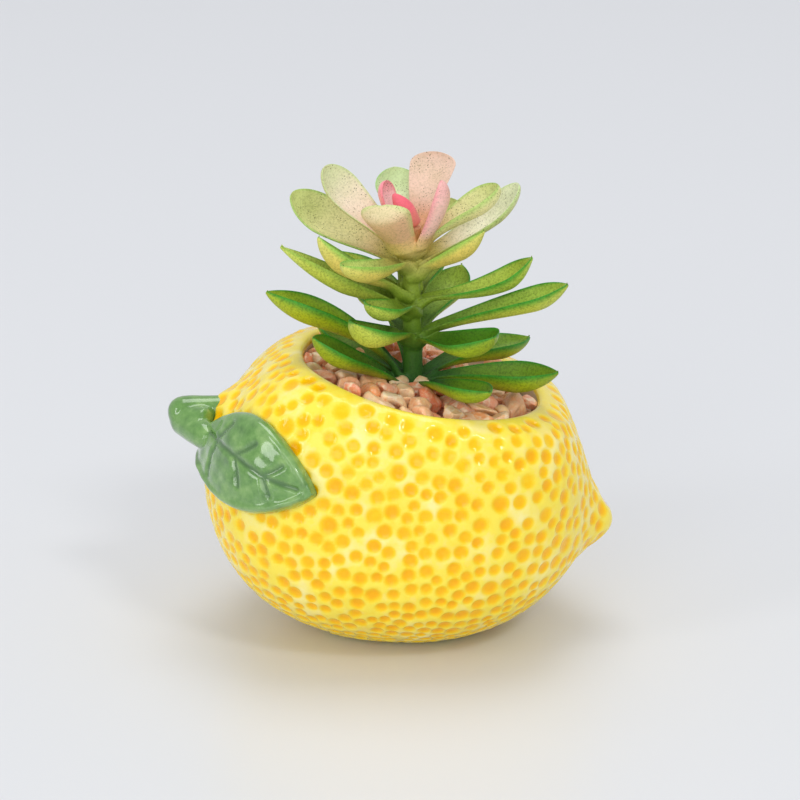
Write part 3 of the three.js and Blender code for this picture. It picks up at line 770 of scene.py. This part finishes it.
def gravel_stone():
    finish = new_finish("gravel_stone", Coat_Weight=0.5, Coat_Roughness=0.18)
    tree = finish.node_tree
    colour = ramp(
        tree,
        painted(tree, "tone"),
        (0.0, rgb(240, 146, 108)),
        (0.18, rgb(255, 186, 146)),
        (0.36, rgb(248, 176, 138)),
        (0.52, rgb(252, 206, 150)),
        (0.66, rgb(255, 232, 184)),
        (0.78, rgb(252, 188, 114)),
        (0.88, rgb(238, 130, 90)),
        (1.0, rgb(255, 196, 150)),
    )
    mottled = rerange(tree, noise(tree, 520, 6, 0.72), 0.4, 0.62)
    colour = blend(tree, reckon(tree, "MULTIPLY", mottled, 0.4), colour, rgb(236, 116, 62))
    chalky = rerange(tree, noise(tree, 800, 4, 0.7), 0.5, 0.66, 0, 0.4)
    colour = blend(tree, chalky, colour, rgb(255, 232, 194))
    cloud = noise(tree, 330, 2, 0.4)
    band = reckon(
        tree,
        "MULTIPLY",
        rerange(tree, cloud, 0.5, 0.56),
        rerange(tree, cloud, 0.56, 0.64, 1.0, 0.0),
    )
    strength = rerange(tree, painted(tree, "veined"), 0.4, 0.8, 0.2, 0.8)
    colour = blend(tree, reckon(tree, "MULTIPLY", band, strength), colour, rgb(255, 234, 204))
    roughness = rerange(tree, noise(tree, 500, 3), 0.3, 0.7, 0.28, 0.5)
    wire_shader(finish, colour, roughness, noise(tree, 750, 5, 0.6), 0.4)
    return finish


gravel = build_gravel()
gravel.data.materials.append(gravel_stone())
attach(gravel, "root")
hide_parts("gravel_layer")

# ---- leaves ----------------------------------------------------------------------------------------
# Each tier is one moulding of spoon-shaped leaves that spring from a sleeve on the stem. A leaf is a
# deep channel at its foot and opens to a cupped blade. The tiers are sprayed dark green at the foot of
# the plant, through lime and cream, to peach and pink at the top, and every rim keeps a brighter line.

# the stem's own colour at heights over the gravel, which the feet of the leaves share
STEM_COATS = [
    (0, rgb(48, 100, 40)),
    (11, rgb(70, 116, 34)),
    (16, rgb(112, 146, 44)),
    (24, rgb(136, 162, 50)),
    (30, rgb(158, 176, 68)),
    (35, rgb(202, 192, 106)),
    (39, rgb(226, 192, 122)),
    (44, rgb(240, 184, 150)),
]

STEM_TOP = 43.5
STEM_RADIUS_LOW, STEM_RADIUS_TOP = 2.75, 2.0
STEM_FLARE, STEM_FLARE_FROM = 0.9, 36.5

BLADE_THICKNESS, BLADE_EDGE = 1.1, 0.6
FOOT_CUP = math.radians(62)
CUP_FULL = 0.45  # the share of a leaf's length where its cup is full
OPENING = (0.08, 1.08)  # a leaf opens between these shares of the way to its widest
FILLET = 3.6  # how far along a leaf its foot is filled out towards the stem
FILLET_UNDER, FILLET_INSIDE = 1.5, 0.2  # how deep that filling is at the stem
LEAF_ROWS, LEAF_COLUMNS = 46, 44


def stem_colour(height):
    heights, colours = zip(*STEM_COATS)
    return np.array([np.interp(height, heights, channel) for channel in zip(*colours)])


def stem_radius(heights):
    taper = mix(STEM_RADIUS_LOW, STEM_RADIUS_TOP, np.clip(heights / STEM_TOP, 0, 1))
    return taper + STEM_FLARE * rise_between(heights, STEM_FLARE_FROM, STEM_TOP)


def turned(a, b, angle):
    """Two coordinates after a turn from the first one's axis towards the second one's."""
    return a * math.cos(angle) - b * math.sin(angle), a * math.sin(angle) + b * math.cos(angle)


def on_stem(x, y, z):
    """Points from the plant's own frame, upright at its foot, moved to where it stands."""
    z, x = turned(z, x, STEM_LEAN)
    return np.stack(np.broadcast_arrays(x, y, z), axis=-1) + STEM_FOOT


def leaf_half_width(share, leaf):
    """Half the width round the cup, from the foot (0) to the tip (1)."""
    half, widest = leaf["width"] / 2, leaf["widest"]
    opening = mix(leaf["foot"], half, rise_between(share / widest, *OPENING))
    full = mix(leaf["foot"], half, rise_between(1.0, *OPENING))
    past = np.clip((share - widest) / (1 - widest), 0, 1)
    return np.where(share < widest, opening, full * (1 - past ** 2) ** leaf["tip_power"])


def leaf_rings(leaf, from_foot, extra):
    """Rings of points round a leaf's section at distances from its foot, made thicker by an extra.

    Also gives each point's share along the leaf, its share across it, and its side: 1 inside, -1 under.
    """
    slant = np.linspace(-math.pi / 2, 3 * math.pi / 2, LEAF_COLUMNS, endpoint=False)
    out, v = np.meshgrid(from_foot, -np.sin(slant), indexing="ij")
    side = np.broadcast_to(np.where(np.cos(slant) >= 0, 1.0, -1.0), out.shape)

    # the cupped blade along +X, hollow side up
    s = np.clip(out / leaf["length"], 0, 1)
    bend = mix(FOOT_CUP, math.radians(leaf["cup"]), rise_between(s, 0, CUP_FULL))
    curve = leaf_half_width(s, leaf) / bend
    squared = np.sqrt(np.maximum(1 - np.abs(v) ** 10, 0))
    lift = side * (mix(BLADE_THICKNESS, BLADE_EDGE, v * v) + extra) * squared / 2
    rim = leaf["bow"] * 4 * s * (1 - s)
    x = np.maximum(out, 0)
    y = (curve - lift) * np.sin(bend * v)
    z = rim + curve * (np.cos(bend) - np.cos(bend * v)) + lift * np.cos(bend * v)

    # rolled, pitched and turned, with its foot run into the stem
    roll, pitch, turn = (math.radians(leaf[key]) for key in ("roll", "pitch", "turn"))
    y, z = turned(y, z, roll)
    x, z = turned(x, z, pitch)
    into_stem = np.maximum(-out, 0)
    fillet = np.clip((FILLET - out) / FILLET, 0, 1) ** 2 * math.cos(pitch)
    fillet = fillet * np.where(side < 0, FILLET_UNDER, FILLET_INSIDE)
    foot_reach = stem_radius(leaf["rise"]) + 0.3 + 0.6 * math.sin(pitch)
    x = x - into_stem + foot_reach
    z = z - into_stem * 0.6 - fillet + leaf["rise"]
    x, y = turned(x, y, turn)
    return on_stem(x, y, z), s, v, side


def tinted(colour, other, share):
    """A colour, or one at every point, turned towards another by the share at each point."""
    return np.asarray(colour) * (1 - share[..., None]) + np.asarray(other) * share[..., None]


def spray(leaf, s, v, side):
    """The sprayed colour at each point of a leaf. Its foot takes the colour of the stem there."""
    sprayed = leaf["coat"]
    inner = tinted(sprayed["blade"], sprayed["tip"], rise_between(s, 0.5, 1.0))
    inner = tinted(inner, sprayed["foot"], 1 - rise_between(s, 0.05, 0.5))
    under = tinted(sprayed["keel"], sprayed["tip"], 0.5 * rise_between(s, 0.7, 1.0))
    colour = np.where(side[..., None] > 0, inner, under)
    rim = rise_between(np.abs(v), np.where(side > 0, 0.86, 0.66), 1.0)
    colour = tinted(colour, sprayed["rim"], rim * rise_between(s, 0.0, 0.3) * sprayed["rim_strength"])
    return tinted(colour, stem_colour(leaf["rise"]), 1 - rise_between(s, 0.08, 0.3))


def build_leaf(name, leaf):
    first, last = 0.8, leaf["length"] * 0.998
    crowding = 1.35  # how much the rows crowd towards the tip
    from_foot = first + (last - first) * (1 - np.linspace(1, 0, LEAF_ROWS) ** crowding)
    rings, s, v, side = leaf_rings(leaf, from_foot, 0)
    paint = spray(leaf, s, v, side).reshape(-1, 4)
    points, faces = closed_tube(rings)
    return make_piece(name, points, faces, paint=np.concatenate([paint, paint[:1], paint[-1:]]))


def sprayed_paint(tree):
    return painted(tree, "paint", "Color")


def moulded_plastic(name, speckled, grainy, colour_of):
    """Satin plastic in soft sprayed colours, with dark specks and a fine grain of the given strengths."""
    finish = new_finish(name, Specular_IOR_Level=0.3)
    tree = finish.node_tree
    colour = colour_of(tree)
    cloud = rerange(tree, noise(tree, 170, 4, 0.6), 0.35, 0.7, 0, 0.2)
    colour = blend(tree, cloud, colour, rgb(176, 196, 110), "MULTIPLY")
    grain = rerange(tree, noise(tree, 1700, 3, 0.75), 0.46, 0.62, 0, grainy)
    colour = blend(tree, grain, colour, rgb(116, 132, 56), "MULTIPLY")
    cells = new_node(tree, "ShaderNodeTexVoronoi", {"Vector": own_place(tree), "Scale": 1650})
    spot = rerange(tree, cells.outputs["Distance"], 0.14, 0.3, 1.0, 0.0)
    chosen = new_node(tree, "ShaderNodeSeparateColor", {"Color": cells.outputs["Color"]})
    rare = rerange(tree, chosen.outputs["Red"], 0.12, 0.4)
    patch = rerange(tree, noise(tree, 240, 2), 0.38, 0.58, 0, speckled)
    speck = reckon(tree, "MULTIPLY", reckon(tree, "MULTIPLY", spot, rare), patch)
    colour = blend(tree, speck, colour, rgb(84, 78, 36))
    roughness = rerange(tree, noise(tree, 300, 3), 0.3, 0.7, 0.42, 0.56)
    wire_shader(finish, colour, roughness, noise(tree, 1400, 3), 0.06)
    return finish


def coat(foot, blade, tip, rim, keel, rim_strength=1.0):
    """The colours that a leaf is sprayed with. The keel is the middle of its underside."""
    sprayed = dict(foot=foot, blade=blade, tip=tip, rim=rim, keel=keel)
    return {place: rgb(*colour) for place, colour in sprayed.items()} | {"rim_strength": rim_strength}


deep_green = coat((44, 98, 40), (112, 152, 34), (126, 162, 38), (52, 142, 30), (170, 184, 36))
grass_green = coat((84, 132, 36), (156, 190, 40), (174, 200, 60), (60, 150, 34), (180, 190, 34))
mid_green = coat((84, 136, 50), (164, 194, 80), (170, 194, 74), (60, 154, 40), (212, 218, 84))
# This coat is mid green with a much darker blade and foot: painted shade for a leaf that lies in shade, not a
# colour of its own
shade_painted_green = coat((66, 116, 30), (74, 126, 18), (76, 132, 20), (58, 146, 34), (190, 206, 50))
light_green = coat((124, 162, 56), (188, 208, 88), (182, 202, 76), (72, 164, 44), (208, 224, 92))
olive_green = coat((140, 168, 64), (206, 226, 118), (208, 226, 118), (124, 172, 58), (212, 220, 88), 0.7)
lime = coat((180, 176, 100), (206, 224, 126), (204, 224, 118), (98, 190, 66), (240, 216, 108), 0.7)
cream = coat((228, 188, 150), (234, 230, 172), (214, 226, 146), (160, 208, 96), (252, 238, 172), 0.7)
pale_cream = coat((244, 216, 182), (255, 252, 232), (244, 250, 214), (196, 228, 146), (206, 206, 120), 0.6)
blush = coat((244, 186, 162), (250, 232, 210), (232, 240, 190), (196, 222, 138), (236, 188, 148), 0.6)
peach = coat((236, 174, 150), (232, 200, 178), (234, 204, 184), (238, 200, 182), (244, 204, 180), 0.6)
pale_green = coat((216, 222, 166), (226, 240, 196), (210, 232, 176), (160, 212, 122), (222, 228, 176), 0.7)
soft_pink = coat((248, 178, 166), (252, 214, 208), (248, 176, 182), (248, 150, 164), (255, 204, 192), 0.7)
rose = coat((252, 176, 170), (255, 214, 216), (254, 176, 188), (252, 130, 150), (252, 172, 174), 0.7)


def shaped(rise, turn, pitch, roll, length, width, cup, bow, **own):
    """A leaf's row in the tiers' table. Whatever it has of its own stands in place of its tier's.

    Its foot leaves the stem at this rise and compass turn (0 is towards the nose, 90 is away from the
    viewer). Its chord has this pitch, and roll is a turn about it. Its width is measured round its cup,
    cup is half the angle it curls through, and bow is how far its rim rises above the chord.
    """
    shape = dict(rise=rise, turn=turn, pitch=pitch, roll=roll, length=length, width=width, cup=cup, bow=bow)
    return {**shape, **own}


# The tiers from the gravel up. Foot is half a leaf's width where it leaves the stem, widest is how far
# along it is widest, and tip_power is how pointed it is: 1 is a point, and 0.5 is round.
TIERS = [
    dict(
        slot="leaf_green", finish="deep_green", speckled=0.35, grainy=0.5, coat=deep_green,
        foot=3, widest=0.68, tip_power=0.9,
        leaves={
            "front_left": shaped(1.2, -145, 33, -14, 33, 17, 76, 1.2),
            "front_right": shaped(1.4, -57, 11, -5, 33, 15.5, 76, 1.5),
            "right": shaped(2.2, -12, 5, 0, 36, 19.5, 84, 1.6),
            "back_right": shaped(2.8, 33, 5, 0, 35, 17, 76, 2.5),
            "back": shaped(3.2, 92, 24, 0, 30, 16, 76, 1),
            "back_left": shaped(3.2, 143, 20, 0, 31, 15, 74, 0),
            "left": shaped(4.2, -176, 33.5, 2, 41.5, 19, 86, 4.8, coat=grass_green),
        },
    ),
    dict(
        slot="leaf_green", finish="mid_green", speckled=0.5, grainy=0.5, coat=mid_green,
        foot=3.4, widest=0.68, tip_power=0.95,
        leaves={
            "front_left": shaped(15.8, -120, 19.5, -8, 27, 17.5, 80, 0, foot=4.2),
            # the front right leaf takes the darker coat, which is painted shade
            "front_right": shaped(14.4, -50, 12, 4.5, 30, 20, 62, 0, coat=shade_painted_green),
            "right": shaped(15.6, -13, 20.2, 4, 41, 16, 74, 0.8, widest=0.76),
            "back_right": shaped(15.4, 62, 20, 0, 28, 16, 74, 0.5),
            "back": shaped(14.8, 118, 18, 0, 26, 16, 74, 0.5),
        },
    ),
    dict(
        slot="leaf_green", finish="light_green", speckled=0.6, grainy=0.46, coat=light_green,
        foot=3.4, widest=0.62, tip_power=1,
        leaves={
            "front": shaped(23.6, -114, 14, -10, 24, 13.5, 78, 0, foot=4),
            "left": shaped(22.8, -176, 28, 5, 35, 16, 74, 0.5, foot=4.2, widest=0.45, coat=olive_green),
            "back_left": shaped(24.4, 132, 12, 0, 29, 15, 72, 0.5),
            "back": shaped(24.4, 78, 14, 0, 25, 15, 74, 0.5),
            "right": shaped(24.6, -8, 21, 6, 31, 15, 72, -2, foot=2.6, widest=0.74),
        },
    ),
    dict(
        slot="leaf_lime", finish="lime", speckled=0.6, grainy=0.34, coat=lime,
        foot=3.8, widest=0.62, tip_power=0.8,
        leaves={
            "left": shaped(27.4, -162, 35.5, 0, 27, 16, 78, -0.5),
            "front_left": shaped(35, -126, 10.5, 0, 27, 15.5, 78, 0),
            "right": shaped(32.8, -26, 32.5, -4, 21.5, 13, 72, 0, widest=0.6, tip_power=1.1),
            "back": shaped(30, 96, 14, 0, 22, 14, 74, 0),
        },
    ),
    dict(
        slot="leaf_lime", finish="cream", speckled=0.9, grainy=0.3, coat=cream,
        foot=3.2, widest=0.7, tip_power=0.6,
        leaves={
            "left": shaped(34.8, 172, 30.5, -36, 33, 15, 62, -1),
            "back_left": shaped(36.4, 124, 18, 0, 24, 14.5, 70, 0),
            "back_right": shaped(37, 64, 18, 0, 24, 14.5, 70, 0),
            "right": shaped(35.4, 2, 36, 18, 31.5, 13.5, 64, -1.5, coat=pale_cream),
            "right_inner": shaped(39, -13, 38.5, 15, 26, 15.5, 76, 1.8),
        },
    ),
    dict(
        slot="leaf_blush", finish="blush", speckled=0.9, grainy=0.22, coat=blush,
        foot=3.4, widest=0.7, tip_power=0.55,
        leaves={
            "left": shaped(39, 178, 47, -38, 27.8, 13.5, 58, -0.5),
            "front_left": shaped(39.8, -128, 54, 14, 14.8, 17, 60, 0, foot=5.5, widest=0.8, tip_power=0.42),
            "back_left": shaped(41.2, 102, 40, 0, 20.5, 14.5, 56, 0, coat=pale_green),
            "back": shaped(42.2, 67, 49, 0, 22.1, 14.2, 42, 0, widest=0.84, tip_power=0.5, coat=peach),
            "right": shaped(40.6, -52, 62, 36, 19.5, 10.5, 84, -0.5, foot=4.6, coat=soft_pink),
            "small_left": shaped(43, 150, 74, 0, 12.2, 8.5, 70, 0, coat=rose),
        },
    ),
]

for level, tier in enumerate(TIERS, start=1):
    tier_finish = moulded_plastic(f"{tier['finish']}_leaves", tier["speckled"], tier["grainy"], sprayed_paint)
    for side_name, leaf in tier["leaves"].items():
        piece = build_leaf(f"tier{level}_{side_name}", {**tier, **leaf})
        piece.data.materials.append(tier_finish)
        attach(piece, "root")
        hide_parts(f"leaf_tier{level}_{side_name}")

# ---- plant stem ------------------------------------------------------------------------------------
# One moulded plastic stem, pushed through the gravel into the foam, with the feet of all the leaves
# growing out of it. Its green turns to olive yellow upwards, and to peach where it opens at the top.

STEM_BURIED = 26


def stem_rod():
    heights = np.concatenate([[-STEM_BURIED, -10, -4], np.linspace(-2, STEM_TOP, 60)])[:, None]
    radii = stem_radius(heights)
    turn = np.arange(40) / 40 * 2 * math.pi
    return closed_tube(on_stem(np.cos(turn) * radii, np.sin(turn) * radii, heights))


def leaf_sleeve(leaf):
    """The foot of a leaf, from inside the stem outwards, thickened where it grows out."""
    from_foot = np.array([-3.0, -2.0, -1.0, 0.0, 0.8, 1.6, 2.6, 3.6, 4.6, 5.6])
    extra = np.interp(from_foot, [-3, 0, 5.6], [0.5, 0.4, -0.35])
    return closed_tube(leaf_rings(leaf, from_foot, extra[:, None])[0])


def stem_coats(tree):
    """The stem's spray, which changes with height."""
    place = new_node(tree, "ShaderNodeSeparateXYZ", {"Vector": own_place(tree)})
    top = STEM_COATS[-1][0]
    height = rerange(tree, place.outputs["Z"], STEM_FOOT[2] * MM, (STEM_FOOT[2] + top) * MM)
    return ramp(tree, height, *[(stop / top, colour) for stop, colour in STEM_COATS])


sleeves = [leaf_sleeve({**tier, **leaf}) for tier in TIERS for leaf in tier["leaves"].values()]
stem = pressed_together("moulded_stem", [stem_rod(), *sleeves], smoothing=8)
stem.data.materials.append(moulded_plastic("stem_plastic", 0.3, 0.3, stem_coats))
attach(stem, "root")
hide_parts("plant_stem")

# ---- centre bud ------------------------------------------------------------------------------------
# The closed heart of the plant, a small fleshy tear moulded in hot pink that leans to the left.

BUD_FOOT = np.array([0.9, -0.8, 45.1])
BUD_LEAN = math.radians(-36)
BUD_LENGTH = 9


def build_bud():
    radii = [(-1.5, 1.4), (0, 1.7), (1.8, 2.2), (3.6, 2.45), (5.4, 2.2), (7, 1.6), (8.2, 0.9), (8.8, 0.4)]
    heading = np.array([math.sin(BUD_LEAN), 0, math.cos(BUD_LEAN)])
    points, faces = lathe(radii, BUD_FOOT, heading, 36)
    along = (points - BUD_FOOT) @ heading / BUD_LENGTH
    paint = tinted(rgb(250, 156, 150), rgb(250, 112, 132), rise_between(along, 0.0, 0.5))
    piece = make_piece("pink_bud", on_stem(*points.T), faces, paint=paint)
    rounding = piece.modifiers.new("moulded_round", "SUBSURF")
    rounding.levels = 1
    rounding.render_levels = 1
    return piece


bud = build_bud()
bud.data.materials.append(moulded_plastic("bud_pink", 0.1, 0.1, sprayed_paint))
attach(bud, "root")
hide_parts("centre_bud")
